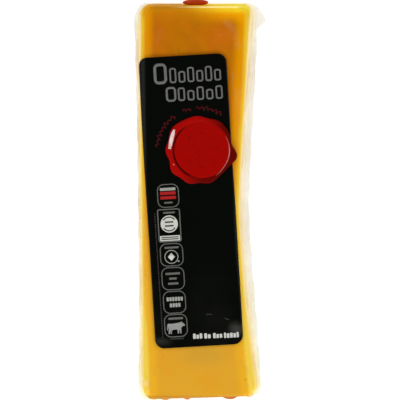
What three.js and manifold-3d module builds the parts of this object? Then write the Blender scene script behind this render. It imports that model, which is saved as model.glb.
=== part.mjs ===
// A bar of cheddar, vacuum-packed in clear film, with a sticker and a wax-style seal on its upper face.
// Millimetres. +Y runs along the bar and +Z is up. The pack lies on its plain back, and the origin is
// on the surface that it lies on, under the middle of the whole pack.

import * as THREE from 'three';
import { mergeVertices } from 'three/addons/utils/BufferGeometryUtils.js';
import Module from 'manifold-3d';

const wasm = await Module();
wasm.setup();

// The bar, measured over its tight film
const BAR_LENGTH = 165.7;
const BAR_HEIGHT = 26.4;
const EDGE_RADIUS = 4; // along the four long edges
const EDGE_RADIUS_AT_ENDS = 2; // round the two end faces
const END_ROUND = 1.3; // over the short edges of the two ends
const EDGE_STEPS = 6;

// The four corners seen from above: how far each is rounded across the bar and along it
const CORNERS = {
  top: { left: { across: 4.8, along: 8 }, right: { across: 4.2, along: 6 } },
  foot: { left: { across: 3.8, along: 5.2 }, right: { across: 4.4, along: 5 } },
};

// The left side is straight and leans a little, and the right side has a shallow waist
const LEFT_X = -24.2;
const LEFT_LEAN = 0.0116;
const WAIST_X = 18.1;
const WAIST_Y = -2;
const TOP_FLARE = 5.6;
const FOOT_FLARE = 7.3;
const FLARE_POWER = 1.4;
const BAR_STATIONS = 32;
const END_REACH = 8; // the stretch of closer sections at each end
const END_STEPS = 8;
const FOOT_SLANT = 0.032; // the foot's cut is not quite square across the bar

// The sealed rim of the film, halfway up the sides and higher towards the foot
const RIM_FOOT_CLIMB = 5;
const RIM_LEFT = { middle: 1, ends: 2 };
const RIM_RIGHT = { middle: 3.8, ends: 1.6 };
const RIM_END = 1;
const RIM_ROOT = 1.7; // half its thickness where it leaves the bar
const RIM_KNEE = 0.3; // the share of its reach by which it has thinned
const RIM_KNEE_THICKNESS = 0.85; // half its thickness there
const RIM_EDGE = 0.35; // half its thickness at its outer edge
const RIM_INSIDE = 2; // how far it runs into the bar
const RIM_WAVE = 0.5; // how far its outer edge wanders up and down
const RIM_WAVES = 13;
const RIM_RIPPLE = 0.18; // how far its outline wanders in and out
const RIM_RIPPLES = 29;
const RIM_STEP = 2.6;

// The pointed ear of film beside the top right corner
const EAR_REACH = 3.6;
const EAR_Y = 76;
const EAR_ABOVE = 7;
const EAR_BELOW = 3.5;

// Gathered puckers of film on the two end rims: place across the bar, half width, which end
const PUCKERS = [
  { x: -0.8, halfWidth: 5.4, end: 1 },
  { x: -18.5, halfWidth: 2.6, end: -1 },
  { x: -13.6, halfWidth: 2.3, end: -1 },
  { x: -4.3, halfWidth: 1.6, end: -1 },
  { x: 13.7, halfWidth: 3, end: -1 },
];
const PUCKER_DEPTH = 1.4;
const PUCKER_REACH = { top: 2.2, foot: 1.1 }; // how far they stand out from the bar's ends
const PUCKER_HALF_HEIGHT = 1.1;
const PUCKER_SIDES = 12;
const PUCKER_RINGS = 8;

// The sticker, turned a little on the bar and bent over its left edge
const LABEL_WIDTH = 36.9;
const LABEL_LENGTH = 122.8;
const LABEL_CORNER = 3.8;
const LABEL_THICKNESS = 0.3;
const LABEL_X = -2.8;
const LABEL_Y = 0.8;
const LABEL_TURN = THREE.MathUtils.degToRad(3.4);
const LABEL_COLUMNS = 28;
const LABEL_RUNS = 14;
const LABEL_CORNER_STEPS = 4;

// The seal: a wavy disc in low relief that overhangs the sticker's right edge
const SEAL_RADIUS = 14.3;
const SEAL_X = 1;
const SEAL_Y = 22.4;
const SEAL_BASE = 0.3; // thickness of its flat middle
const SEAL_LOBES = [
  { count: 3, depth: 0.018, phase: 1.6 },
  { count: 4, depth: 0.012, phase: -2.8 },
  { count: 5, depth: 0.016, phase: 2.6 },
  { count: 6, depth: 0.02, phase: 2.8 },
  { count: 7, depth: 0.016, phase: 3.1 },
  { count: 8, depth: 0.008, phase: 2.5 },
  { count: 9, depth: 0.012, phase: -1.4 },
  { count: 10, depth: 0.011, phase: 2 },
  { count: 11, depth: 0.011, phase: -2.7 },
];
const SEAL_BEADS = [
  { radius: 0.9, spread: 0.07, height: 0.55 }, // the pressed-out rim
  { radius: 0.73, spread: 0.03, height: 0.2 }, // the stamp's ring
];
const SEAL_EDGE = 0.2; // thickness left at the very edge
const SEAL_RINGS = [0.36, 0.66, 0.7, 0.73, 0.76, 0.8, 0.85, 0.9, 0.95, 0.98, 1];
const SEAL_SPOKES = 72;

const GAP = 0.3; // between pieces that lie on each other

const CHEDDAR = new THREE.MeshStandardMaterial({ color: 0xdc9628, roughness: 0.35, metalness: 0 });
const LABEL_BLACK = new THREE.MeshStandardMaterial({ color: 0x0b0c0b, roughness: 0.4, metalness: 0 });
const SEAL_RED = new THREE.MeshStandardMaterial({ color: 0x980805, roughness: 0.35, metalness: 0 });

// The bar's left side at height y: a straight line
function leftEdge(y) {
  return LEFT_X - LEFT_LEAN * y;
}

// The bar's right side at height y: it flares out from the waist towards either end
function rightEdge(y) {
  const above = y > WAIST_Y;
  const reach = BAR_LENGTH / 2 + (above ? -WAIST_Y : WAIST_Y);
  const flare = above ? TOP_FLARE : FOOT_FLARE;
  return WAIST_X + flare * (Math.abs(y - WAIST_Y) / reach) ** FLARE_POWER;
}

// A mesh's triangles from points and faces, with coincident points made one
function closedGeometry(points, faces) {
  const geometry = new THREE.BufferGeometry();
  geometry.setAttribute('position', new THREE.Float32BufferAttribute(points.flat(), 3));
  geometry.setIndex(faces.flat());
  return mergeVertices(geometry, 1e-3);
}

// Triangles that join a row of closed rings, each of the same number of points. Seen from outside,
// a ring runs to the right and the next ring lies above it. A loop joins the last ring to the first.
function skin(rings, loop = false) {
  const count = rings[0].length;
  const joins = loop ? rings.length : rings.length - 1;
  const faces = [];
  for (let k = 0; k < joins; k += 1) {
    const first = k * count;
    const next = ((k + 1) % rings.length) * count;
    for (let i = 0; i < count; i += 1) {
      const j = (i + 1) % count;
      faces.push([first + i, first + j, next + j]);
      faces.push([first + i, next + j, next + i]);
    }
  }
  return faces;
}

// A closed geometry as a solid that can be joined to others
function toSolid(geometry) {
  const bare = geometry.clone();
  bare.deleteAttribute('normal');
  bare.deleteAttribute('uv');
  const merged = mergeVertices(bare, 1e-3);
  return new wasm.Manifold(new wasm.Mesh({
    numProp: 3,
    vertProperties: new Float32Array(merged.attributes.position.array),
    triVerts: new Uint32Array(merged.index.array),
  }));
}

function toGeometry(solid) {
  const mesh = solid.getMesh();
  const geometry = new THREE.BufferGeometry();
  geometry.setAttribute('position', new THREE.BufferAttribute(mesh.vertProperties, 3));
  geometry.setIndex(new THREE.BufferAttribute(mesh.triVerts, 1));
  return geometry;
}

// How far a rounded end has drawn in at y: an elliptic quarter, across deep and along long
function drawnIn(y, across, along) {
  const into = Math.max(0, Math.abs(y) - BAR_LENGTH / 2 + along) / along;
  return across * (1 - Math.sqrt(Math.max(0, 1 - into ** 2)));
}

// The bar's left and right sides at y with their corners rounded
function sides(y) {
  const { left, right } = y > 0 ? CORNERS.top : CORNERS.foot;
  return [
    leftEdge(y) + drawnIn(y, left.across, left.along),
    rightEdge(y) - drawnIn(y, right.across, right.along),
  ];
}

// How far along the bar a point belongs once the foot's slant is put in, fading out by the middle
function slanted(x, y) {
  return y + FOOT_SLANT * x * Math.min(0, 2 * y / BAR_LENGTH) ** 2;
}

// One section across the bar at y: a rounded rectangle that runs from the top over the right side
// and back along the underside
function barSection(y) {
  const upright = drawnIn(y, END_ROUND, END_ROUND);
  const radius = THREE.MathUtils.lerp(EDGE_RADIUS, EDGE_RADIUS_AT_ENDS, upright / END_ROUND);
  const left = sides(y)[0] + radius;
  const right = sides(y)[1] - radius;
  const low = upright + radius;
  const high = BAR_HEIGHT - upright - radius;
  const corners = [[right, high], [right, low], [left, low], [left, high]];
  return corners.flatMap(([x, z], k) => {
    const arc = [];
    for (let i = 0; i <= EDGE_STEPS; i += 1) {
      const angle = (k + i / EDGE_STEPS) * Math.PI / 2;
      const across = x + radius * Math.sin(angle);
      arc.push([across, slanted(across, y), z + radius * Math.cos(angle)]);
    }
    return arc;
  });
}

// Where the sections stand, from foot to top: evenly, and closer and closer towards both ends
function barStations() {
  const straight = BAR_LENGTH / 2 - END_REACH;
  const rounded = [];
  for (let i = 1; i <= END_STEPS; i += 1) {
    rounded.push(straight + END_REACH * Math.sin((i / END_STEPS) * Math.PI / 2));
  }
  const stations = rounded.map((y) => -y).reverse();
  for (let i = 0; i <= BAR_STATIONS; i += 1) {
    stations.push(straight * (2 * i / BAR_STATIONS - 1));
  }
  return stations.concat(rounded);
}

function barGeometry() {
  const sections = barStations().map(barSection);
  const count = sections[0].length;
  const last = (sections.length - 1) * count;
  const faces = skin(sections);
  for (let i = 1; i + 1 < count; i += 1) {
    faces.push([0, i + 1, i]);
    faces.push([last, last + i, last + i + 1]);
  }
  return closedGeometry(sections.flat(), faces);
}

// The bar's outline seen from above, anticlockwise, as points about RIM_STEP apart
function planOutline() {
  const stations = barStations();
  const place = (x, y) => new THREE.Vector2(x, slanted(x, y));
  const right = stations.map((y) => place(sides(y)[1], y));
  const left = stations.map((y) => place(sides(y)[0], y)).reverse();
  const path = new THREE.Path([...right, ...left, right[0]]);
  const steps = Math.round(path.getLength() / RIM_STEP);
  return path.getSpacedPoints(steps).slice(0, steps);
}

// How high the middle of the rim runs at y
function rimHeight(y) {
  return BAR_HEIGHT / 2 + RIM_FOOT_CLIMB * Math.min(0, 2 * y / BAR_LENGTH) ** 2;
}

// How far the film's rim stands out at a point of the outline, from the way that point faces
function rimReach(point, out, share) {
  const { middle, ends } = out.x > 0 ? RIM_RIGHT : RIM_LEFT;
  const side = THREE.MathUtils.lerp(middle, ends, (2 * point.y / BAR_LENGTH) ** 4);
  const climb = point.y > EAR_Y ? (point.y - EAR_Y) / EAR_ABOVE : (EAR_Y - point.y) / EAR_BELOW;
  const ear = out.x > 0 ? EAR_REACH * Math.max(0, 1 - climb) : 0;
  const ripple = RIM_RIPPLE * Math.sin(RIM_RIPPLES * share * 2 * Math.PI);
  return side * out.x ** 2 + RIM_END * out.y ** 2 + ear * out.x ** 2 + ripple;
}

// The rim: a flat band that tapers outwards, swept once round the bar's outline
function rimGeometry() {
  const outline = planOutline();
  const sections = outline.map((point, i) => {
    const before = outline.at(i - 1);
    const after = outline[(i + 1) % outline.length];
    const out = new THREE.Vector2(after.y - before.y, before.x - after.x).normalize();
    const share = i / outline.length;
    const reach = rimReach(point, out, share);
    const wave = RIM_WAVE * Math.sin(RIM_WAVES * share * 2 * Math.PI);
    const knee = RIM_KNEE * reach;
    const section = [
      [-RIM_INSIDE, RIM_ROOT],
      [knee, RIM_KNEE_THICKNESS + RIM_KNEE * wave],
      [reach, RIM_EDGE + wave],
      [reach, -RIM_EDGE + wave],
      [knee, -RIM_KNEE_THICKNESS + RIM_KNEE * wave],
      [-RIM_INSIDE, -RIM_ROOT],
    ];
    return section.map(([far, rise]) => (
      [point.x + out.x * far, point.y + out.y * far, rimHeight(point.y) + rise]
    ));
  });
  return closedGeometry(sections.flat(), skin(sections, true));
}

// A pucker: a ball pressed flat against the end of the bar
function puckerGeometry({ x, halfWidth, end }) {
  const ball = new THREE.SphereGeometry(1, PUCKER_SIDES, PUCKER_RINGS);
  ball.scale(halfWidth, PUCKER_DEPTH, PUCKER_HALF_HEIGHT);
  const reach = end > 0 ? PUCKER_REACH.top : PUCKER_REACH.foot;
  const y = end * (BAR_LENGTH / 2 + reach - PUCKER_DEPTH);
  ball.translate(x, slanted(x, y), rimHeight(y));
  return ball;
}

// The whole pouch: the filled bar, its rim and the puckers at the ends, as one solid
function pouchGeometry() {
  let pouch = toSolid(barGeometry()).add(toSolid(rimGeometry()));
  for (const pucker of PUCKERS) {
    pouch = pouch.add(toSolid(puckerGeometry(pucker)));
  }
  return toGeometry(pouch);
}

// A point of a sheet laid on the upper face. x and y are measured along the sheet, which bends down
// over the bar's rounded long edges, and lift is how far the point stands off the film.
function onFace(x, y, lift) {
  const right = rightEdge(y) - EDGE_RADIUS;
  const left = leftEdge(y) + EDGE_RADIUS;
  const past = Math.max(0, x - right) + Math.min(0, x - left);
  const bend = past / EDGE_RADIUS;
  const radius = EDGE_RADIUS + lift;
  return [
    x - past + radius * Math.sin(bend),
    y,
    BAR_HEIGHT - EDGE_RADIUS + radius * Math.cos(bend),
  ];
}

// The sticker's rows from foot to top: [distance along it, half its width there]
function labelRows() {
  const straight = LABEL_LENGTH / 2 - LABEL_CORNER;
  const narrowest = LABEL_WIDTH / 2 - LABEL_CORNER;
  const corner = [];
  for (let i = 1; i <= LABEL_CORNER_STEPS; i += 1) {
    const angle = (i / LABEL_CORNER_STEPS) * Math.PI / 2;
    corner.push([straight + LABEL_CORNER * Math.sin(angle), narrowest + LABEL_CORNER * Math.cos(angle)]);
  }
  const rows = corner.map(([far, half]) => [-far, half]).reverse();
  for (let i = 0; i <= LABEL_RUNS; i += 1) {
    rows.push([straight * (2 * i / LABEL_RUNS - 1), LABEL_WIDTH / 2]);
  }
  return rows.concat(corner);
}

// The sticker: a grid of its lower side and one of its upper side, closed round the edge
function labelGeometry() {
  const rows = labelRows();
  const cos = Math.cos(LABEL_TURN);
  const sin = Math.sin(LABEL_TURN);
  const rings = rows.map(([far, half]) => {
    const columns = [];
    for (let i = 0; i <= LABEL_COLUMNS; i += 1) {
      const across = half * (2 * i / LABEL_COLUMNS - 1);
      columns.push([LABEL_X + across * cos - far * sin, LABEL_Y + across * sin + far * cos]);
    }
    const upper = columns.map(([x, y]) => onFace(x, y, GAP + LABEL_THICKNESS));
    const lower = columns.map(([x, y]) => onFace(x, y, GAP)).reverse();
    return upper.concat(lower);
  });
  const count = rings[0].length;
  const last = (rings.length - 1) * count;
  const faces = skin(rings);
  for (let i = 0; i < LABEL_COLUMNS; i += 1) {
    const [a, b, c, d] = [i, i + 1, count - 2 - i, count - 1 - i];
    faces.push([a, c, b], [a, d, c]);
    faces.push([last + a, last + b, last + c], [last + a, last + c, last + d]);
  }
  return closedGeometry(rings.flat(), faces);
}

// The seal's thickness at a share of its radius: a flat middle, a fine ring and a fat rim
function sealThickness(share) {
  const beads = SEAL_BEADS.map(({ radius, spread, height }) => (
    height * Math.exp(-(((share - radius) / spread) ** 2))
  ));
  return SEAL_BASE + beads.reduce((sum, bead) => sum + bead, 0);
}

// A point of the seal, from its share of the radius, which is wavier further out, and its angle
function sealPoint(share, angle, lift) {
  const lobes = SEAL_LOBES.map(({ count, depth, phase }) => depth * Math.sin(count * angle + phase));
  const wavy = 1 + share ** 3 * lobes.reduce((sum, lobe) => sum + lobe, 0);
  const radius = SEAL_RADIUS * share * wavy;
  return onFace(SEAL_X + radius * Math.cos(angle), SEAL_Y + radius * Math.sin(angle), lift);
}

// The seal: rings of points from its flat underside out to the edge and back in over its upper side
function sealGeometry() {
  const floor = 2 * GAP + LABEL_THICKNESS;
  const upper = SEAL_RINGS.map((share) => [share, floor + (share < 1 ? sealThickness(share) : SEAL_EDGE)]);
  const rings = [[SEAL_RINGS[0], floor], [1, floor], ...upper.reverse()].map(([share, lift]) => {
    const ring = [];
    for (let i = 0; i < SEAL_SPOKES; i += 1) {
      ring.push(sealPoint(share, (i / SEAL_SPOKES) * 2 * Math.PI, lift));
    }
    return ring;
  });
  const points = rings.flat();
  const last = points.length - SEAL_SPOKES;
  const lowest = points.push(sealPoint(0, 0, floor)) - 1;
  const middle = points.push(sealPoint(0, 0, floor + sealThickness(0))) - 1;
  const faces = skin(rings);
  for (let i = 0; i < SEAL_SPOKES; i += 1) {
    const j = (i + 1) % SEAL_SPOKES;
    faces.push([lowest, j, i]);
    faces.push([middle, last + i, last + j]);
  }
  return closedGeometry(points, faces);
}

function piece(name, geometry, material) {
  const mesh = new THREE.Mesh(geometry, material);
  mesh.name = name;
  return mesh;
}

const group = new THREE.Group();
group.add(piece('sealed_block', pouchGeometry(), CHEDDAR));
group.add(piece('front_label', labelGeometry(), LABEL_BLACK));
group.add(piece('red_seal', sealGeometry(), SEAL_RED));

const box = new THREE.Box3().setFromObject(group, true);
const centre = box.getCenter(new THREE.Vector3());
group.position.set(-centre.x, -centre.y, -box.min.z);

export default group;
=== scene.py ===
# %% [markdown]
# # A vacuum-packed bar of cheddar
# The bar lies on its back on a pale table with its sticker up. The packed model gives three solids: the
# sealed bag with the cheese in it, the sticker and the seal. Here the bag becomes two real things, the
# cheese and the clear film that is drawn tight round it, and the sticker and the seal get fine surfaces.
# Every shape is a formula worked out with numpy on a grid, so a size can be changed in one place.

import bpy
import numpy as np
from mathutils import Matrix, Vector


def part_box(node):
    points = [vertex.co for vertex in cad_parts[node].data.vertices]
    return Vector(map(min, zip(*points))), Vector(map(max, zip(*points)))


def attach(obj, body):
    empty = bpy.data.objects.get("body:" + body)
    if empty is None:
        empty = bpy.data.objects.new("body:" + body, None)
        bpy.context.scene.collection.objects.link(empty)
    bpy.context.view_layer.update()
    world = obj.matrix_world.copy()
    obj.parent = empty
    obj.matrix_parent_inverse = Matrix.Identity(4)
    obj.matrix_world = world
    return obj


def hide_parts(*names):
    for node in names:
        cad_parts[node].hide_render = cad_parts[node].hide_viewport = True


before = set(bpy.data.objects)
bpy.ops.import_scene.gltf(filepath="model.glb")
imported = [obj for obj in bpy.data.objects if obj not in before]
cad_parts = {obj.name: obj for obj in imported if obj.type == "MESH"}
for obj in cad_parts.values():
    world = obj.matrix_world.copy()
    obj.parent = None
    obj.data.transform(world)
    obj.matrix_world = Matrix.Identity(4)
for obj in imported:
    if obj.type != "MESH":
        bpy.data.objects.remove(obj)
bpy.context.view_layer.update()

MM = 0.001
print("packed nodes:", sorted(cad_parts))

# %% [markdown]
# ## The bar's outline
# Seen from above the left side is straight and leans a little, and the right side has a shallow waist
# where the bar was squeezed. Two short functions say where the sides are at any height y, and a third
# rounds the four corners. All other pieces ask these functions, so they fit each other.

# %% The sizes of the bar and where its sides are
BAR_LENGTH = 165.7 * MM
BAR_HEIGHT = 26.4 * MM
EDGE_RADIUS = 4 * MM
EDGE_RADIUS_AT_ENDS = 2 * MM
END_ROUND = 1.3 * MM
LEFT_X, LEFT_LEAN = -24.2 * MM, 0.0116
WAIST_X, WAIST_Y = 18.1 * MM, -2 * MM
TOP_FLARE, FOOT_FLARE, FLARE_POWER = 5.6 * MM, 7.3 * MM, 1.4
FOOT_SLANT = 0.032
CORNERS = {  # how far each corner is rounded across the bar and along it
    "top": {"left": (4.8 * MM, 8 * MM), "right": (4.2 * MM, 6 * MM)},
    "foot": {"left": (3.8 * MM, 5.2 * MM), "right": (4.4 * MM, 5 * MM)},
}


def left_edge(y):
    """A straight line that leans."""
    return LEFT_X - LEFT_LEAN * y


def right_edge(y):
    """The waist plus a flare that grows with a power of the distance from it."""
    above = y > WAIST_Y
    reach = np.where(above, BAR_LENGTH / 2 - WAIST_Y, BAR_LENGTH / 2 + WAIST_Y)
    flare = np.where(above, TOP_FLARE, FOOT_FLARE)
    return WAIST_X + flare * (np.abs(y - WAIST_Y) / reach) ** FLARE_POWER


def drawn_in(y, across, along):
    """How far a rounded end has drawn in at y: a quarter ellipse, across deep and along long."""
    into = np.clip(np.abs(y) - BAR_LENGTH / 2 + along, 0, along) / along
    return across * (1 - np.sqrt(1 - into**2))


def sides(y):
    """The left and right side at y, with the corners rounded."""
    left, right = left_edge(y), right_edge(y)
    for end, here in (("top", y > 0), ("foot", y <= 0)):
        left = left + np.where(here, drawn_in(y, *CORNERS[end]["left"]), 0)
        right = right - np.where(here, drawn_in(y, *CORNERS[end]["right"]), 0)
    return left, right


def slanted(x, y):
    """y with the foot's slant put in: in proportion to x, fading out with the square of y."""
    return y + FOOT_SLANT * x * np.minimum(0, 2 * y / BAR_LENGTH) ** 2


middle_sides = sides(np.array([-0.25, 0, 0.25]) * BAR_LENGTH)
print("width in mm at three heights:", np.round((middle_sides[1] - middle_sides[0]) / MM, 1))

# %% [markdown]
# ## Laying a sheet on the bar
# The sticker and everything printed on it lie on the upper face, and the sticker's left edge bends down
# over the bar's rounded edge. A point of the sheet is found by its distance along the sheet: on the flat
# it stays where it is, and past the flat it goes round the quarter circle of the edge.

# %% From a sheet's own coordinates to space
GAP = 0.3 * MM
LABEL_WIDTH, LABEL_LENGTH = 36.9 * MM, 122.8 * MM
LABEL_CORNER = 3.8 * MM
LABEL_THICKNESS = 0.3 * MM
LABEL_X, LABEL_Y = -2.8 * MM, 0.8 * MM
LABEL_TURN = np.radians(3.4)
LABEL_TOP = GAP + LABEL_THICKNESS


def on_face(x, y, lift):
    """A point at (x, y) of a sheet on the upper face, lift above the film: flat, then round the edge."""
    past = np.maximum(0, x - right_edge(y) + EDGE_RADIUS) + np.minimum(0, x - left_edge(y) - EDGE_RADIUS)
    bend, radius = past / EDGE_RADIUS, EDGE_RADIUS + lift
    z = BAR_HEIGHT - EDGE_RADIUS + radius * np.cos(bend)
    return np.stack(np.broadcast_arrays(x - past + radius * np.sin(bend), y, z), axis=-1)


def on_label(across, along, lift):
    """A point of the sticker from its distances from the sticker's middle, which is turned on the bar."""
    cos, sin = np.cos(LABEL_TURN), np.sin(LABEL_TURN)
    return on_face(LABEL_X + across * cos - along * sin, LABEL_Y + across * sin + along * cos, lift)


print("middle of the sticker's left edge in mm:", np.round(on_label(-LABEL_WIDTH / 2, 0, GAP) / MM, 1))

# %% [markdown]
# ## From grids to meshes
# Each piece below is rows of closed rings. A ring runs to the right as seen from outside, and the next
# row lies above it, so all faces point outwards. The rows may join up in a loop, be closed by a flat row
# of faces across, or run into a pole.

# %% Joining rings
def skin(rows, count, loop=False):
    """The four-sided faces between neighbouring rings of count points each."""
    k = np.arange(rows if loop else rows - 1)[:, None]
    i = np.arange(count)[None, :]
    j, first, following = (i + 1) % count, k * count, (k + 1) % rows * count
    return np.stack([first + i, first + j, following + j, following + i], axis=-1).reshape(-1, 4)


def poles(points):
    """Rings with a single point put at either end, and the triangles round those two points."""
    rows, count = points.shape[:2]
    flat = np.concatenate([points.reshape(-1, 3), [points[0].mean(0), points[-1].mean(0)]])
    i = np.arange(count)
    j = (i + 1) % count
    last = (rows - 1) * count
    below = np.stack([np.full(count, rows * count), j, i], axis=-1)
    above = np.stack([np.full(count, rows * count + 1), last + i, last + j], axis=-1)
    return flat, [skin(rows, count), below, above]


def slab(upper, lower, loop=False):
    """A thin closed sheet from a grid for its upper side and one for its lower side."""
    rings = np.concatenate([upper, lower[:, ::-1]], axis=1)
    rows, count = rings.shape[:2]
    faces = [skin(rows, count, loop)]
    if not loop:
        i = np.arange(upper.shape[1] - 1)
        end = np.stack([i, i + 1, count - 2 - i, count - 1 - i], axis=-1)
        faces += [end[:, ::-1], end + (rows - 1) * count]
    return rings.reshape(-1, 3), faces


def facing(grid):
    """The outward way at each point of a grid of closed rings: the cross product of its two slopes."""
    along_ring = np.roll(grid, -1, axis=1) - np.roll(grid, 1, axis=1)
    normal = np.cross(along_ring, np.gradient(grid, axis=0))
    return normal / np.linalg.norm(normal, axis=-1, keepdims=True)


print("faces between two rings of 8 points:", len(skin(2, 8)))

# %% [markdown]
# A mesh could be built face by face, which is slow for a bar with tens of thousands of them. Writing
# whole arrays into it with foreach_set takes no time. The piece is then given to the one body that this
# object has.

# %% Writing a mesh
def make_piece(name, points, face_blocks, material, slot, marks=None):
    """A smooth mesh object from points and blocks of faces. marks are numbers kept at the points."""
    points = points + SHIFT
    mesh = bpy.data.meshes.new(name)
    sizes = np.concatenate([np.full(len(block), block.shape[1]) for block in face_blocks])
    corners = np.concatenate([block.reshape(-1) for block in face_blocks])
    mesh.vertices.add(len(points))
    mesh.vertices.foreach_set("co", points.astype(np.float32).reshape(-1))
    mesh.loops.add(len(corners))
    mesh.loops.foreach_set("vertex_index", corners.astype(np.int32))
    mesh.polygons.add(len(sizes))
    mesh.polygons.foreach_set("loop_start", (np.cumsum(sizes) - sizes).astype(np.int32))
    mesh.update(calc_edges=True)
    mesh.validate()
    mesh.shade_smooth()
    for key, values in (marks or {}).items():
        layer = mesh.attributes.new(key, "FLOAT", "POINT")
        layer.data.foreach_set("value", values.astype(np.float32).reshape(-1))
    piece = bpy.data.objects.new(name, mesh)
    bpy.context.scene.collection.objects.link(piece)
    mesh.materials.append(material)
    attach(piece, "root")
    print(f"{name}: {len(points)} points, {len(sizes)} faces")
    return piece


# %% [markdown]
# ## One frame for both
# The formulas have their own zero. The packed model moved it to the middle of the whole pack. The sticker
# is in both, so the distance between its two middles is the shift that every new piece gets.

# %% Find the shift
def label_rows(corner_steps, runs):
    """Rows of the sticker from foot to top: how far along each is, and half its width there."""
    straight, narrow = LABEL_LENGTH / 2 - LABEL_CORNER, LABEL_WIDTH / 2 - LABEL_CORNER
    angle = np.linspace(0, np.pi / 2, corner_steps + 1)[1:]
    far, half = straight + LABEL_CORNER * np.sin(angle), narrow + LABEL_CORNER * np.cos(angle)
    run = np.linspace(-straight, straight, runs + 1)
    along = np.concatenate([-far[::-1], run, far])
    return along, np.concatenate([half[::-1], np.full(runs + 1, LABEL_WIDTH / 2), half])


def label_grid(columns, corner_steps, runs, lift):
    """The sticker's grid of points, lift above the film."""
    along, half = label_rows(corner_steps, runs)
    across = half[:, None] * np.linspace(-1, 1, columns + 1)[None, :]
    return on_label(across, along[:, None] + 0 * across, lift)


upper_label = label_grid(28, 4, 14, LABEL_TOP)
formula_middle = (upper_label.min((0, 1)) + upper_label.max((0, 1))) / 2
label_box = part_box("front_label")
packed_middle = np.array(label_box[0] + label_box[1]) / 2
SHIFT = np.array([*(packed_middle - formula_middle)[:2], 0.0])
print("shift in mm:", np.round(SHIFT / MM, 3))

# %% [markdown]
# ## Writing materials as sums
# A material is a graph of nodes, which is long to write out. This small class wraps one socket, so that
# 1 - mask or mask * 0.5 adds the Math node by itself.

# %% Numbers that add their own nodes
class Number:
    """A number or colour that comes out of a node. Arithmetic on it adds Math nodes."""

    def __init__(self, board, socket):
        self.board, self.socket = board, socket

    def math(self, operation, *terms):
        return self.board.add("ShaderNodeMath", {"operation": operation}, dict(enumerate(terms)))

    def __add__(self, other):
        return self.math("ADD", self, other)

    def __sub__(self, other):
        return self.math("SUBTRACT", self, other)

    def __rsub__(self, other):
        return self.math("SUBTRACT", other, self)

    def __mul__(self, other):
        return self.math("MULTIPLY", self, other)

    def __pow__(self, other):
        return self.math("POWER", self, other)

    __radd__, __rmul__ = __add__, __mul__

    def between(self, low, high, to_low=0.0, to_high=1.0):
        """A soft step: to_low below low, to_high above high."""
        inputs = {"Value": self, "From Min": low, "From Max": high, "To Min": to_low, "To Max": to_high}
        return self.board.add("ShaderNodeMapRange", {"interpolation_type": "SMOOTHSTEP"}, inputs)


print("what a number can do:", ", ".join(name for name in vars(Number) if callable(getattr(Number, name))))

# %% [markdown]
# All nodes of a material are put on one board. A single method adds any node, from its type, its
# settings and the values or links of its sockets, and the others are short names for the nodes that are
# used often: noise, numbers kept on the mesh, mixes and shaders.

# %% A board of nodes
class Board:
    """The nodes of one material."""

    def __init__(self, name):
        self.material = bpy.data.materials.new(name)
        self.material.use_nodes = True
        self.tree = self.material.node_tree
        self.tree.nodes.clear()

    def add(self, kind, settings=None, inputs=None, output=0):
        """Adds a node, sets it up, then sets or links its sockets. Gives one of its outputs."""
        node = self.tree.nodes.new(kind)
        for name, value in (settings or {}).items():
            setattr(node, name, value)
        for name, value in (inputs or {}).items():
            if isinstance(value, Number):
                self.tree.links.new(value.socket, node.inputs[name])
            else:
                node.inputs[name].default_value = value
        return Number(self, node.outputs[output])

    def place(self, *scale):
        """Object coordinates in metres, stretched by scale."""
        where = self.add("ShaderNodeTexCoord", output="Object")
        return self.add("ShaderNodeMapping", {}, {"Vector": where, "Scale": scale or (1, 1, 1)})

    def noise(self, size, detail=3.0, rough=0.5, stretch=(1, 1, 1)):
        """Noise from 0 to 1 whose blotches are about size metres across."""
        where = self.place(*(s / size for s in stretch))
        settings = {"Vector": where, "Scale": 1.0, "Detail": detail, "Roughness": rough}
        return self.add("ShaderNodeTexNoise", {}, settings)

    def mark(self, name):
        """A number kept at the points of the mesh."""
        return self.add("ShaderNodeAttribute", {"attribute_name": name}, output="Fac")

    def mix(self, share, one, other):
        """A colour between two."""
        inputs = {0: share, 6: one, 7: other}
        return self.add("ShaderNodeMix", {"data_type": "RGBA"}, inputs, output=2)

    def bump(self, height, distance):
        """A normal for a surface whose height of 0 to 1 stands for 0 to distance, in metres."""
        return self.add("ShaderNodeBump", {}, {"Height": height, "Distance": distance})

    def shader(self, kind, **inputs):
        """A surface shader. An underscore in a name stands for a space."""
        return self.add(kind, {}, {name.replace("_", " "): value for name, value in inputs.items()})

    def plastic(self, **inputs):
        return self.shader("ShaderNodeBsdfPrincipled", **inputs)

    def blend(self, share, one, other):
        """A mix of two shaders."""
        return self.add("ShaderNodeMixShader", {}, {0: share, 1: one, 2: other})

    def clear(self):
        """A shader that lets all light through."""
        return self.shader("ShaderNodeBsdfTransparent", Color=(1, 1, 1, 1))

    def done(self, surface):
        """The finished material, whose surface is this shader."""
        end = self.tree.nodes.new("ShaderNodeOutputMaterial")
        self.tree.links.new(surface.socket, end.inputs["Surface"])
        return self.material


def rgb(red, green, blue):
    """A colour given as it looks on a screen, from 0 to 255, as the linear light that Blender wants."""
    screen = np.array([red, green, blue]) / 255
    linear = np.where(screen <= 0.04045, screen / 12.92, ((screen + 0.055) / 1.055) ** 2.4)
    return (*linear.tolist(), 1.0)


print("middle grey of a screen as light:", round(rgb(128, 128, 128)[0], 3))

# %% [markdown]
# ## The cheese
# Cheddar is dense and smooth, cut by wire, and light goes some way into it, which makes its edges glow
# a paler yellow than the middle of a face. It could be a bevelled box, but its waist, its slanted foot
# and its four different corners are easier to write as sections along the bar.

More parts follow.
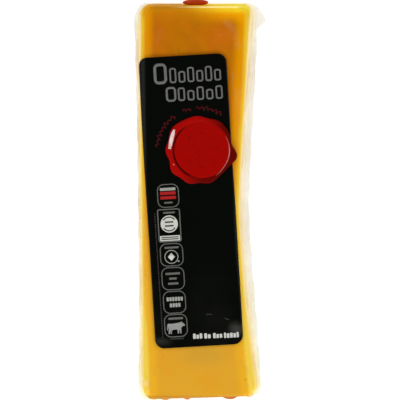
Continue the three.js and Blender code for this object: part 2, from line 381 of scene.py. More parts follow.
# %% Sections along the bar
def ring_plan(across, under, upright, turn):
    """Once round a section: four quarter turns of turn steps, each followed by a flat. For each point it
    gives which way the corner centre is, as shares across and up, and the way the point faces."""
    corners = [(1, 1), (1, 0), (0, 0), (0, 1)]
    flat_steps = [upright, under, upright, across]
    plan = []
    for k, (x, z) in enumerate(corners):
        angle = (k + np.linspace(0, 1, turn + 1)) * np.pi / 2
        plan.append(np.stack([x + 0 * angle, z + 0 * angle, np.sin(angle), np.cos(angle)], axis=1))
        way = np.linspace(0, 1, flat_steps[k] + 1)[1:-1]
        x_next, z_next = corners[(k + 1) % 4]
        facing_x, facing_z = np.sin((k + 1) * np.pi / 2), np.cos((k + 1) * np.pi / 2)
        centres = [x + (x_next - x) * way, z + (z_next - z) * way]
        plan.append(np.stack([*centres, facing_x + 0 * way, facing_z + 0 * way], axis=1))
    return np.concatenate(plan).T


END_REACH = 8 * MM  # the stretch at either end where the stations close up


def stations(straight_steps, end_steps):
    """Where the sections stand: evenly, and closer and closer towards both ends."""
    straight = BAR_LENGTH / 2 - END_REACH
    close = straight + END_REACH * np.sin(np.linspace(0, np.pi / 2, end_steps + 1)[1:])
    return np.concatenate([-close[::-1], np.linspace(-straight, straight, straight_steps + 1), close])


print("points round a section:", ring_plan(56, 56, 30, 10).shape[1])

# %% [markdown]
# The bar is those sections, each set between the sides where it stands. The same function gives the
# cheese and the film over it, which differ only in how far they lie below the outer surface. Slow seeded
# waves make the cheese a little uneven, as a bar is that was squeezed in its bag.

# %% The bar's surface
def bar_grid(inset, across=56, under=56, upright=30, turn=10, straight_steps=200, end_steps=22):
    """Rings of the bar's surface, inset below the formula's outer surface: at each station a rounded
    rectangle between the sides, drawn in and less rounded towards the two end faces. The steps are those
    over the top, the underside, each side and each rounded edge, and those along the bar."""
    y = stations(straight_steps, end_steps)[:, None]
    share_x, share_z, facing_x, facing_z = ring_plan(across, under, upright, turn)[:, None, :]
    left, right = sides(y)
    upright_in = drawn_in(y, END_ROUND, END_ROUND)
    radius = EDGE_RADIUS + (EDGE_RADIUS_AT_ENDS - EDGE_RADIUS) * upright_in / END_ROUND
    left, right = left + radius, right - radius
    low, high = upright_in + radius, BAR_HEIGHT - upright_in - radius
    x = left + (right - left) * share_x + (radius - inset) * facing_x
    z = low + (high - low) * share_z + (radius - inset) * facing_z
    return np.stack([x, slanted(x, y * (1 - 2 * inset / BAR_LENGTH) + 0 * x), z], axis=-1)


def with_end_faces(grid, steps=12):
    """The rings with more added inside both ends, shrinking towards the middle of each end face."""
    shrink = np.linspace(1, 0, steps + 1)[1:-1, None, None]
    ends = [ring.mean(0) + (ring - ring.mean(0)) * shrink for ring in (grid[0], grid[-1])]
    return np.concatenate([ends[0][::-1], grid, ends[1]])


def ripples(where, lengths, seed):
    """Smooth seeded noise of about -1 to 1 at points: a sum of plane waves in random directions."""
    draw = np.random.default_rng(seed)
    total = 0
    for length in lengths:
        way = draw.normal(size=3)
        way = way / np.linalg.norm(way)
        total = total + np.sin(where @ way * 2 * np.pi / length + draw.uniform(0, 2 * np.pi))
    return total / len(lengths)


CHEESE_INSET = 0.3 * MM
CHEESE_UNEVEN = 0.07 * MM
cheese_grid = bar_grid(CHEESE_INSET)
unevenness = ripples(cheese_grid, [31 * MM, 23 * MM, 17 * MM, 11 * MM, 7 * MM], seed=5)
cheese_grid = cheese_grid + facing(cheese_grid) * (unevenness * CHEESE_UNEVEN)[..., None]
cheese_rings = with_end_faces(cheese_grid)
print("cheese rings:", cheese_rings.shape)

# %% [markdown]
# A cheese is not one yellow. Its colour follows the bar's own edges, which bend, so how far each point is
# from the nearest long edge and from the top end is kept on the mesh. A few patches stand where this
# bar is warmer or cracked, and one is painted shade just below the sticker. Each patch is an oval with a
# soft outline, given in millimetres.

# %% Where the colours lie
def from_side(points):
    """Distance in millimetres from the bar's nearest long edge, over the face or down the side."""
    x, y, z = points[..., 0], points[..., 1], points[..., 2]
    over = np.minimum(x - left_edge(y), right_edge(y) - x)
    down = np.minimum(BAR_HEIGHT - EDGE_RADIUS - z, z - EDGE_RADIUS)
    return np.maximum(0, np.maximum(over, down)) / MM


def from_top(points):
    """Distance in millimetres from the top end."""
    return (BAR_LENGTH / 2 - points[..., 1]) / MM


def spot(board, across, along, half_width, half_length):
    """1 in the middle of an oval patch of the bar's face, falling to 0 at its outline, all in mm."""
    where = board.place(1 / (half_width * MM), 1 / (half_length * MM), 0)
    middle = ((across + SHIFT[0] / MM) / half_width, (along + SHIFT[1] / MM) / half_length, 0)
    distance = board.add("ShaderNodeVectorMath", {"operation": "DISTANCE"}, {0: where, 1: middle}, "Value")
    return distance.between(1, 0)


def spots(board, places):
    """Several patches together. The last number of each is how strong it is in its middle."""
    total = 0
    for *place, strength in places:
        total = total + spot(board, *place) * strength
    return total


def layered(board, colour, layers):
    """Colours laid over one another in turn, each by its own share."""
    for share, over in layers:
        colour = board.mix(share, colour, over)
    return colour


WARM_SPOTS = [
    (-17, 70, 9, 15, 0.4), (11, 70, 11, 11, 0.5), (14, 40, 9, 9, 0.4), (-19.6, 69, 0.9, 7, 0.4),
    (-20, -52, 1.6, 9, 0.3),
]
# painted shade: a darker patch just below the sticker's foot
LABEL_SHADE_SPOTS = [(2, -64, 17, 8, 0.8)]
CRACKS = [(-7.9, 64.3, 0.35, 2.6, 0.5), (20.4, -74.6, 0.8, 0.6, 0.5)]
PALE_SPOTS = [(-21.6, -76.4, 1.6, 2.2, 0.5)]
print("patches on the cheese:", len(WARM_SPOTS + LABEL_SHADE_SPOTS + CRACKS + PALE_SPOTS))

# %% [markdown]
# The paste is mottled a little where curds knitted together. It is painted browner and darker towards the
# top and yellower towards the foot, painted light and shade along the bar. Near the long sides it is
# painted golden, then butter yellow, then cream, a painted glow of light that comes through from the side,
# and the same along the top end. The foot's rolled edge gets painted shade. A fine bump stands for the
# wire's drag marks and pinholes. The film clings with no air under it, so the paste itself has no gloss.

# %% The cheddar finish
def paste_colour(board, curd, foot):
    """The middle of a face: brown gold at the top and yellow at the foot, which is painted light and shade,
    mottled, with warm patches and a patch of painted shade below the sticker.
    """
    # painted light and shade along the bar: the colours run from browner and darker at the top to yellower
    # at the foot
    orange = board.mix(foot, rgb(212, 114, 10), rgb(226, 156, 34))
    mottle = board.noise(0.005, detail=3.0, rough=0.6).between(0.42, 0.68) * (1 - foot) * 0.35
    return layered(board, board.mix(foot, rgb(192, 116, 4), rgb(222, 164, 44)), [
        (curd.between(0.45, 0.75) * 0.7, orange),
        (mottle, rgb(178, 98, 14)),
        (spots(board, WARM_SPOTS), rgb(208, 104, 18)),
        # painted shade below the sticker
        (spots(board, LABEL_SHADE_SPOTS), rgb(206, 156, 52)),
    ])


def edge_glow(board, face, curd, foot):
    """The painted glow along the sides and the top end, where light comes through: bands by how many
    millimetres a point is from them, and painted shade on the foot's rolled edge.
    """
    top, edge = board.mark("from_top"), board.mark("from_side")
    across = board.add("ShaderNodeSeparateXYZ", {}, {0: board.place()}, output="X")
    right = across.between(-0.01, 0.02, 0.1, 1.0)
    near_top, near_foot = top.between(40, 8) * 0.8, top.between(120, 155)
    side = edge + (curd - 0.5) * 1.6 - near_top - near_foot * 1.5
    narrow = across.between(0, -0.015) * (0.8 - foot * 0.4)
    wide = across.between(0, 0.02) * top.between(30, 6) * 0.6
    golden = board.mix(foot, rgb(228, 150, 0), rgb(232, 174, 38))
    butter = board.mix(foot, rgb(238, 194, 36), rgb(240, 206, 72))
    # painted shade along the foot's rolled edge
    rolled_edge_shade = top.between(BAR_LENGTH / MM - 1.8, BAR_LENGTH / MM - 0.8)
    # painted glow: golden, butter and cream bands where light comes through the sides and the top end
    return layered(board, face, [
        ((side + narrow).between(7.5, 3.4), golden),
        (top.between(8.5, 3) * right, rgb(248, 168, 0)),
        ((side + narrow * foot - wide).between(2.8, 0.9), butter),
        (top.between(4.0, 0.8) * right, rgb(255, 226, 44)),
        ((edge - near_top).between(1.2, 0.0) * (1 - near_foot * 0.7), rgb(245, 228, 172)),
        (rolled_edge_shade * 0.6, rgb(176, 118, 48)),
    ])


def cheddar_finish():
    """Paste, glowing edges and a few small marks, with light that goes some way in."""
    board = Board("cheddar")
    curd = board.noise(0.016, detail=2.0)
    grain = board.noise(0.0016, detail=4.0, rough=0.6)
    foot = board.mark("from_top").between(30, 150)
    face = edge_glow(board, paste_colour(board, curd, foot), curd, foot)
    face = layered(board, face, [
        (spots(board, CRACKS), rgb(120, 70, 4)), (spots(board, PALE_SPOTS), rgb(252, 222, 170)),
    ])
    pinholes = grain.between(0.62, 0.7) * 0.5 + grain * 0.3
    return board.done(board.plastic(
        Base_Color=face, Roughness=0.42 + grain * 0.12, Specular_IOR_Level=0.0, Subsurface_Weight=0.25,
        Subsurface_Radius=(0.003, 0.0012, 0.0004), Subsurface_Scale=1.0,
        Normal=board.bump(pinholes, 0.00006),
    ))


cheese_points, cheese_faces = poles(cheese_rings)
cheese_marks = {"from_side": from_side(cheese_points), "from_top": from_top(cheese_points)}
cheese = make_piece("cheese", cheese_points, cheese_faces, cheddar_finish(), "cheddar", cheese_marks)
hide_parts("sealed_block")

# %% [markdown]
# ## The film
# The bag is drawn tight by vacuum, so over the faces it is one with the cheese and shows only by its
# gloss. It shows more where it has too much material: small ridges run up the sides from the seam, and
# a few long folds lie round the sticker's ends and near the corners.

# %% Ridges and folds in the film
CREASES = [  # from, to and width in mm: round the label's ends and near the corners
    (11, 77.5, 16, 72, 1.5), (15.8, 74, 17.3, 64, 1.3), (6.5, 70, 15, 72.4, 0.6),
    (-19.4, 68, -19.8, 59, 0.5), (-15, 74, -17.5, 66, 0.8), (14.6, 58, 15.8, 40, 0.6),
    (16.6, 52, 16.3, 34, 0.5), (16.3, 54.5, 16.9, 51.5, 0.7), (14.4, 18, 14.9, 4, 0.4),
    (-18.4, -68, -17.2, -75, 0.9), (-21, -72, -20.4, -80, 1.2), (-15, -62, -14, -66, 0.5),
    (20.4, -62, 21.4, -76, 0.7), (17, -64, 20, -70, 0.6), (-21.5, -10, -22.2, -40, 0.4),
    (20.6, -78, 22, -74, 0.6),
]


PLEAT_WAVES = [(6.3 * MM, 0), (4.1 * MM, 1.3), (17 * MM, 0.4)]  # length and phase
PLEAT_SPREAD = 6 * MM


def pleats(grid):
    """Ridges across the sides: waves round the bar, only their crests, strongest at the seam's height."""
    x, y, z = grid[..., 0], grid[..., 1], grid[..., 2]
    round_bar = y + 0.6 * x
    waves = sum(np.sin(round_bar * 2 * np.pi / length + phase) for length, phase in PLEAT_WAVES)
    crest = np.clip(waves / len(PLEAT_WAVES), 0, 1) ** 2
    return crest * np.exp(-((z - BAR_HEIGHT / 2) / PLEAT_SPREAD) ** 2)


def creases(grid):
    """A few long soft folds on the upper face: each is a ridge beside a line, fading towards its ends."""
    total = 0
    for x0, y0, x1, y1, width in CREASES:
        start, run = np.array([x0, y0]) * MM, np.array([x1 - x0, y1 - y0]) * MM
        length = np.hypot(*run)
        off = grid[..., :2] - start
        far = (off @ run) / length**2
        side = (off[..., 0] * run[1] - off[..., 1] * run[0]) / length
        total = total + np.exp(-((side / (width * MM)) ** 2)) * np.clip(4 * far * (1 - far), 0, 1)
    return total


print("long folds:", len(CREASES))

# %% [markdown]
# The film is a second skin, a little above the cheese, pushed out where it has ridges and folds. They
# also turn it milky there, partly its own milkiness and partly a painted highlight on the folds. Along the
# top end's upper edge a thin line of it is a painted highlight, pale and glowing: that is a number on the
# mesh too, a narrow bell curve across the edge.

# %% The tight skin of film
FILM_INSET = 0.14 * MM
PLEAT_HEIGHT, CREASE_HEIGHT = 0.22 * MM, 0.16 * MM
FACE_DEPTH = 1.5 * MM  # what lies less deep than this below the upper face counts as face
# painted highlight along the top end's upper edge: its width, its distance from the end, and how strong it
# is along the edge
HIGHLIGHT_WIDTH, HIGHLIGHT_FROM_END = 0.2 * MM, 0.5 * MM
HIGHLIGHT_ACROSS, HIGHLIGHT_STRENGTH = [-11, -2, 5, 16, 19.5], [0, 0.6, 1, 1, 0]  # places in mm and strengths

film_grid = bar_grid(FILM_INSET, across=90, under=60, straight_steps=330)
on_top = film_grid[..., 2] > BAR_HEIGHT - FACE_DEPTH
# milky on folds and ridges: partly the film's own milkiness, partly painted highlight
film_milk_and_sheen = np.where(on_top, creases(film_grid), 0) + 0.5 * pleats(film_grid)
from_highlight = film_grid[..., 1] - (BAR_LENGTH / 2 - HIGHLIGHT_FROM_END)
highlight_along = np.interp(film_grid[..., 0] / MM, HIGHLIGHT_ACROSS, HIGHLIGHT_STRENGTH)
top_highlight = np.where(on_top, np.exp(-((from_highlight / HIGHLIGHT_WIDTH) ** 2)) * highlight_along, 0)
ridge = PLEAT_HEIGHT * pleats(film_grid) + np.where(on_top, CREASE_HEIGHT * creases(film_grid), 0)
film_grid = film_grid + facing(film_grid) * ridge[..., None]
print("highest ridge in mm:", round(float(ridge.max()) / MM, 2))

# %% [markdown]
# Clear film lets light through unbent and mirrors a little of it, more at a glancing angle. So a
# transparent and a glossy shader are mixed by a small share that rises with the fifth power of how
# edge-on the film is seen. A Fresnel node would hold back light that leaves the skin again, since it
# takes a closed skin for solid glass. Facing is the same from both sides.

# %% The clear film finish
def film_finish():
    """Clear with a weak gloss, milky on the ridges in part as painted highlight, and a glowing painted
    highlight line along the top end's edge.
    """
    board = Board("clear_film")
    wavy = board.noise(0.009, detail=3.0) + board.noise(0.0022, detail=2.0) * 0.25
    normal = board.bump(wavy, 0.0001)
    edge_on = board.add("ShaderNodeLayerWeight", {}, {"Blend": 0.5, "Normal": normal}, output="Facing")
    mirror = edge_on**5 * 0.045 + 0.01
    gloss = board.shader("ShaderNodeBsdfGlossy", Color=(1, 1, 1, 1), Roughness=0.12, Normal=normal)
    film = board.blend(mirror, board.clear(), gloss)
    milky = board.plastic(Base_Color=rgb(244, 196, 124), Roughness=0.35, Normal=normal)
    broken = board.noise(0.004, detail=3.0).between(0.3, 0.65)
    # the milky share on the folds is partly painted highlight
    film = board.blend(board.mark("milk") * broken * 0.13, film, milky)
    # painted highlight: a pale, glowing line along the top end's upper edge
    painted_highlight = board.plastic(
        Base_Color=rgb(255, 248, 190), Roughness=0.3, Normal=normal,
        Emission_Color=rgb(255, 248, 160), Emission_Strength=0.42,
    )
    return board.done(board.blend(board.mark("top_highlight_line") * 0.85, film, painted_highlight))


film_rings = with_end_faces(film_grid)
film_points, film_faces = poles(film_rings)
end_rings = (len(film_rings) - len(film_grid)) // 2


def with_ends(values):
    """Numbers for all the film's points: 0 on the end faces and at both poles."""
    return np.append(np.pad(values, ((end_rings, end_rings), (0, 0))), [0, 0])


film_marks = {"milk": with_ends(film_milk_and_sheen), "top_highlight_line": with_ends(top_highlight)}
film = make_piece("film_skin", film_points, film_faces, film_finish(), "film", film_marks)
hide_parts("sealed_block")

# %% [markdown]
# ## The sealed rim
# Halfway up the sides the two webs of film meet and run out as a flat rim, wide along the waist, narrow
# elsewhere, with a pointed ear beside the top right corner. It could be cut from a flat sheet, but it
# rises towards the foot, so it is a band swept round the bar's outline. First comes the outline, stepped
# out evenly, and how far the rim stands out from each point of it.

# %% The rim's path and reach
RIM_LEFT, RIM_RIGHT, RIM_END = (1.0 * MM, 2.0 * MM), (3.8 * MM, 1.6 * MM), 1.0 * MM
EAR_REACH, EAR_Y, EAR_ABOVE, EAR_BELOW = 3.6 * MM, 76 * MM, 7 * MM, 3.5 * MM
RIM_INSIDE = 2 * MM
RIM_THIN, RIM_THICK = 0.12 * MM, 1.5 * MM
RIM_FOOT_CLIMB = 5 * MM
RAGGED_CUT = [(0.18, 29, 0), (0.06, 97, 1), (0.03, 151, 0)]  # size in mm, waves round the bar, phase
WANDER = [(0.5, 13, 0), (0.12, 61, 2), (0.05, 113, 0)]


def waves_round(share, waves):
    """A sum of sine waves round the bar, at each share of the way round."""
    return sum(size * MM * np.sin(count * share * 2 * np.pi + phase) for size, count, phase in waves)


def rim_height(y):
    """How high the rim's middle runs: halfway up the sides, and higher towards the foot."""
    return BAR_HEIGHT / 2 + RIM_FOOT_CLIMB * np.minimum(0, 2 * y / BAR_LENGTH) ** 2


def plan_outline(count):
    """The bar's outline from above, anticlockwise: both sides at the stations, stepped out evenly."""
    y = stations(160, 20)
    left, right = sides(y)
    path = np.concatenate([np.stack([right, y], 1), np.stack([left, y], 1)[::-1], [[right[0], y[0]]]])
    path[:, 1] = slanted(path[:, 0], path[:, 1])
    far = np.concatenate([[0], np.cumsum(np.hypot(*np.diff(path, axis=0).T))])
    even = np.linspace(0, far[-1], count, endpoint=False)
    return np.stack([np.interp(even, far, path[:, 0]), np.interp(even, far, path[:, 1])], axis=1)


def rim_reach(point, out, share):
    """How far the rim stands out: blended by the way the outline faces, plus the ear and a ragged cut."""
    ends = (2 * point[:, 1] / BAR_LENGTH) ** 4
    right = out[:, 0] > 0
    right_reach, left_reach = (waist * (1 - ends) + end * ends for waist, end in (RIM_RIGHT, RIM_LEFT))
    rise = point[:, 1] - EAR_Y
    ear = EAR_REACH * np.clip(1 - np.where(rise > 0, rise / EAR_ABOVE, -rise / EAR_BELOW), 0, 1) * right
    beside = np.where(right, right_reach, left_reach) + ear
    return beside * out[:, 0] ** 2 + RIM_END * out[:, 1] ** 2 + waves_round(share, RAGGED_CUT)


print("way round the bar in mm:", round(float(np.hypot(*np.diff(plan_outline(900), axis=0).T).sum() / MM)))

# %% [markdown]
# The band itself is thick where the webs part beside the bar and thin at its cut edge. It wanders up and
# down, as film does that has no cheese to hold it flat. Two numbers stay on its points for the finish.

# %% The rim's band
def rim_grid(count=900, steps=12):
    """Rings across the rim, one for each step round the bar: out over its upper side and back below."""
    point = plan_outline(count)
    ahead = np.roll(point, -3, axis=0) - np.roll(point, 3, axis=0)
    out = np.stack([ahead[:, 1], -ahead[:, 0]], axis=1) / np.hypot(*ahead.T)[:, None]
    share = np.arange(count) / count
    reach = rim_reach(point, out, share)[:, None]
    way = np.linspace(0, 1, steps + 1)[None, :]
    away = -RIM_INSIDE + (reach + RIM_INSIDE) * way
    thick = RIM_THIN + RIM_THICK * (1 - way) ** 3
    middle = rim_height(point[:, 1:]) + waves_round(share[:, None], WANDER) * way**2
    x, y = point[:, :1] + out[:, :1] * away, point[:, 1:] + out[:, 1:] * away
    upper, lower = (np.stack([x, y, middle + sign * thick], axis=-1) for sign in (1, -1))
    grid = np.concatenate([upper, lower[:, ::-1]], axis=1)
    beyond = np.concatenate([away, away[:, ::-1]], axis=1) / MM
    near_foot = np.clip(-point[:, 1:] / (20 * MM) - 2.2, 0, 1)
    whiter = np.where(out[:, :1] < 0, (2 - near_foot) * beyond, beyond - 0.5 * near_foot)
    milk = np.clip(1.8 * np.abs(out[:, :1]), 0.12, 1) + 0 * beyond
    return grid, {"whiter": whiter, "milk": milk}


rim_rings, rim_marks = rim_grid()
print("rim rings:", rim_rings.shape)

# %% [markdown]
# Folded and sealed film turns milky. It is streaked lengthwise where it was stretched, and next to the
# cheese it is painted yellow, a painted glow of the cheese's light. So its finish is a pale plastic mixed
# with clear, by a share that grows in streaks, and its colour runs from butter at the root to white at the
# cut edge, sooner on the left and later near the foot. It glows a little as painted light from below, and
# has small painted glints. Across the two ends the film is stretched tight and stays nearly clear.

# %% The milky rim finish
def rim_finish():
    """Milky in streaks and clear between them, butter yellow at the root, white at the cut edge, with a
    painted glow and painted glints.
    """
    board = Board("milky_film")
    whiter = board.mark("whiter")
    streaks = board.noise(0.0011, detail=3.0, stretch=(1, 0.12, 1))
    patches = board.noise(0.012, detail=2.0)
    glints = board.noise(0.0016, detail=2.0, stretch=(1, 0.5, 1)).between(0.66, 0.72)
    colour = layered(board, rgb(238, 212, 124), [
        (whiter.between(-0.8, 0.8), rgb(244, 242, 210)),
        (whiter.between(0.7, 2.2), rgb(240, 245, 240)),
        (whiter.between(2.6, 5.0), rgb(248, 248, 242)),
        (streaks.between(0.5, 0.7) * 0.3, rgb(246, 244, 238)),
        # painted glints: small white specks
        (glints, rgb(255, 255, 255)),
    ])
    milky = streaks.between(0.35, 0.65, 0.8, 0.95) + patches * 0.05
    # painted glow: the emission stands in for light through the film from below
    surface = board.plastic(
        Base_Color=colour, Roughness=0.3, Emission_Color=colour, Emission_Strength=0.18,
        Normal=board.bump(streaks, 0.00015),
    )
    return board.done(board.blend(milky * board.mark("milk"), board.clear(), surface))


rim_faces = [skin(*rim_rings.shape[:2], loop=True)]
rim = make_piece("film_rim", rim_rings.reshape(-1, 3), rim_faces, rim_finish(), "film", rim_marks)
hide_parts("sealed_block")

# %% [markdown]
# ## Puckers at the ends
# Where the film is gathered at the two ends, a little cheese and butterfat is pinched in the seam. It
# shows as amber beads. Each is a flattened ball whose surface is drawn into folds that run to the seam.

# %% Amber beads
PUCKERS = [  # across the bar, half width, which end, how far out (mm), how dark: 0 pale to 1 deep orange
    (-0.8, 5.4, 1, 2.2, 1.0), (-18.5, 2.6, -1, 0.8, 0.1), (-13.6, 2.3, -1, 1.1, 0.4),
    (-4.3, 1.6, -1, 1.2, 0.65), (13.7, 3.0, -1, 1.6, 0.65), (21.6, 1.8, -1, 0.9, 0.0),
]
PUCKER_DEPTH, PUCKER_HALF_HEIGHT = 1.4 * MM, 1.1 * MM


def pucker_ball(x, half_width, end, reach, folds=7):
    """A flattened ball: its radius is pinched by a wave round its long axis, less towards its poles."""
    tall = np.linspace(0.06, np.pi - 0.06, 24)[:, None]
    turn = np.linspace(0, 2 * np.pi, 48, endpoint=False)[None, :]
    pinch = 1 - 0.12 * np.sin(tall) * (0.5 + 0.5 * np.cos(folds * turn + 5 * np.cos(tall)))
    radius = pinch * np.sin(tall)
    ball = np.stack([-np.cos(tall) + 0 * turn, radius * np.cos(turn), -radius * np.sin(turn)], axis=-1)
    y = end * (BAR_LENGTH / 2 + reach - PUCKER_DEPTH)
    centre = np.array([x, slanted(x, y), rim_height(y)])
    return centre + ball * np.array([half_width, PUCKER_DEPTH, PUCKER_HALF_HEIGHT])


def amber_finish():
    """Pale to deep orange by the number on the mesh, a little cloudy."""
    board = Board("amber_beads")
    depth = board.mark("depth")
    cloudy = board.noise(0.0012, detail=3.0)
    pale = board.mix(depth.between(0.0, 0.5), rgb(244, 212, 150), rgb(200, 128, 62))
    deep = board.mix(depth.between(0.5, 1.0), pale, rgb(190, 52, 4))
    return board.done(board.plastic(
        Base_Color=board.mix(cloudy * 0.3, deep, rgb(206, 110, 40)), Roughness=0.3,
        Specular_IOR_Level=0.15, Subsurface_Weight=0.2, Subsurface_Radius=(0.002, 0.0008, 0.0003),
        Subsurface_Scale=1.0, Normal=board.bump(cloudy, 0.0002),
    ))


bead_points, bead_faces, bead_depth, seen = [], [], [], 0
for across, half, end, reach, depth in PUCKERS:
    ball_points, ball_faces = poles(pucker_ball(across * MM, half * MM, end, reach * MM))
    bead_faces += [block + seen for block in ball_faces]
    bead_points.append(ball_points)
    bead_depth.append(np.full(len(ball_points), depth))
    seen += len(ball_points)
beads = make_piece(
    "seam_beads", np.concatenate(bead_points), bead_faces, amber_finish(), "cheddar",
    {"depth": np.concatenate(bead_depth)},
)
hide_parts("sealed_block")

# %% [markdown]
# ## The sticker
# A thin glossy black sheet with round corners. A flat plate would nearly do, but its left edge bends
# over the bar's edge. Fine rows and columns carry that bend, and the whole sheet is very slightly
# uneven, as a sticker over film is, which breaks up its reflections.

# %% The sticker's sheet
def label_sheet():
    """The two sides of the sheet. The upper one swells by a few hundredths of a millimetre."""
    upper = label_grid(72, 8, 220, LABEL_TOP)
    lower = label_grid(72, 8, 220, GAP)
    swell = ripples(upper, [23 * MM, 13 * MM, 9 * MM, 6 * MM], seed=11)
    upper[..., 2] += 0.012 * MM * swell
    return slab(upper, lower)


# painted sheen: two soft pale patches on the black, where light would be mirrored
PAINTED_SHEEN = [(16.4, -53, 4.6, 4.6, 0.9), (-15.5, -58.5, 7, 2.6, 0.5)]


def label_finish():
    """Near black, greyer towards the foot where it is partly rubbed and partly painted sheen, with two dull
    patches of painted sheen.
    """
    board = Board("black_sticker")
    rubbed_and_sheen = board.noise(0.02, detail=4.0)
    fine = board.noise(0.0006, detail=2.0, stretch=(1, 0.3, 1))
    along = board.add("ShaderNodeSeparateXYZ", {}, {0: board.place()}, output="Y")
    foot = along.between(-0.02, -0.06)
    # greyer towards the foot: partly rubbed and partly painted sheen
    colour = board.mix(foot * rubbed_and_sheen.between(0.4, 0.7), rgb(3, 5, 2), rgb(14, 15, 12))
    painted_sheen = spots(board, PAINTED_SHEEN) * rubbed_and_sheen.between(0.3, 0.6)
    colour = board.mix(painted_sheen, colour, rgb(62, 64, 58))
    return board.done(board.plastic(
        Base_Color=colour, Roughness=0.2 + rubbed_and_sheen * 0.12, Specular_IOR_Level=0.12,
        Normal=board.bump(fine, 0.00003),
    ))


label = make_piece("sticker", *label_sheet(), label_finish(), "label")
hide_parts("front_label")

# %% [markdown]
# ## Print
# Ink has no thickness to speak of, but a printed shape here is a real, very thin sheet on the sticker, so
# that it is there in the mesh too. The print is made of plain bars, frames, rings and dots in greys and
# reds. A shape is a grid of points on the sticker.

# %% Shapes that can be printed
INK = 0.05 * MM
RIM_STRIP = 0.02


def bar_patch(across, along, width, height, corner):
    """A bar with round corners: rows whose half width follows a quarter circle at either end. It has a
    column in each millimetre, to follow the sticker. Smooth shading would round the whole bar, so two more
    columns at its rims keep that to a strip, which is this share of half its width."""
    corner = min(corner, width / 2, height / 2)
    angle = np.linspace(0, np.radians(88), 7)
    far = height / 2 - corner + corner * np.sin(angle)
    half = width / 2 - corner + corner * np.cos(angle)
    rows, halves = np.concatenate([-far[::-1], far]), np.concatenate([half[::-1], half])
    inner = np.linspace(RIM_STRIP - 1, 1 - RIM_STRIP, int(width) + 2)
    columns = np.concatenate([[-1], inner, [1]])
    return np.stack(np.broadcast_arrays(across + halves[:, None] * columns, along + rows[:, None]), axis=-1)


def band_patch(across, along, width, height, corner, line):
    """A frame: the outline of a rounded rectangle, from half a line inside it to half a line outside."""
    angle = (np.arange(4)[:, None] + np.linspace(0, 1, 7)[None, :]) * np.pi / 2
    middle_x = (width / 2 - corner) * np.array([1, -1, -1, 1])[:, None]
    middle_y = (height / 2 - corner) * np.array([1, 1, -1, -1])[:, None]
    radius = corner + line / 2 * np.array([-1, 1])
    x = across + (middle_x + 0 * angle)[..., None] + radius * np.cos(angle)[..., None]
    y = along + (middle_y + 0 * angle)[..., None] + radius * np.sin(angle)[..., None]
    return np.stack([x, y], axis=-1).reshape(-1, 2, 2)


def arc_patch(across, along, radius, start, end, line):
    """Part of a ring, from start to end in degrees, anticlockwise."""
    angle = np.radians(np.linspace(start, end, max(3, int(abs(end - start) / 4))))[:, None]
    reach = radius + line / 2 * np.array([-1, 1])[None, :]
    return np.stack([across + reach * np.cos(angle), along + reach * np.sin(angle)], axis=-1)


print("points of a small bar:", bar_patch(0, 0, 3, 1, 0.5).shape[:2])

# %% [markdown]
# All shapes of one ink go into one mesh, so that they have one finish. They could be separate objects,
# but there are over a hundred of them.

# %% Printing a piece
def print_piece(name, patches, material, slot="print_grey", lift=LABEL_TOP):
    """All patches of one ink in one mesh, each a slab from just inside the sticker to INK above it. Each
    lies a hair higher than the one before, so that no two tops are in one plane."""
    points, faces, seen = [], [], 0
    for k, (patch, loop) in enumerate(patches):
        raised = lift + INK * (1 + 0.01 * k)
        sheet = [on_label(patch[..., 0] * MM, patch[..., 1] * MM, level) for level in (raised, lift - INK)]
        slab_points, slab_faces = slab(*sheet, loop=loop)
        faces += [block + seen for block in slab_faces]
        points.append(slab_points)
        seen += len(slab_points)
    return make_piece(name, np.concatenate(points), faces, material, slot)


def bars(*rows):
    """Bars given as (across, along, width, height, corner)."""
    return [(bar_patch(*row), False) for row in rows]


def frames(*rows):
    """Frames given as (across, along, width, height, corner, line)."""
    return [(band_patch(*row), True) for row in rows]


print("points of a small frame:", frames((0, 0, 3, 1, 0.5, 0.2))[0][0].shape[:2])

# %% [markdown]
# Real ink is rubbed and specked where the film presses on it. Two noises do that, a fine one and a broad
# one. A worn picture of the print would do it too, but the noise needs no file.

# %% The ink's finish
def ink_finish(name, colour, worn):
    """Ink that is slightly worn: a fine noise takes some of it towards the sticker's black."""
    board = Board(name)
    grain = board.noise(0.0005, detail=2.0)
    blotch = board.noise(0.006, detail=2.0)
    share = grain.between(0.3, 0.75) * worn + blotch * (worn * 0.5)
    return board.done(board.plastic(
        Base_Color=board.mix(share, colour, rgb(12, 12, 10)), Roughness=0.36 + grain * 0.1,
        Specular_IOR_Level=0.1,
    ))


print("light grey ink as light:", np.round(rgb(206, 206, 200)[:3], 2))

# %% [markdown]
# All places are in millimetres from the sticker's middle, across it and along it. Two rows of plain
# hollow blocks lie near the top, a tall one first in each. A row of small full ones is at the lower right.

# %% Rows of blocks
def block_row(across, along, widths, heights, gap, corner, line=None):
    """Blocks side by side, all standing at one height. Given a line, they are frames of that width."""
    patches = []
    for width, height in zip(widths, heights):
        x, y = across + width / 2, along + height / 2
        if line is None:
            patches += bars((x, y, width, height, corner))
        else:
            patches += frames((x, y, width - line, height - line, corner - line / 2, line))
        across = across + width + gap
    return patches


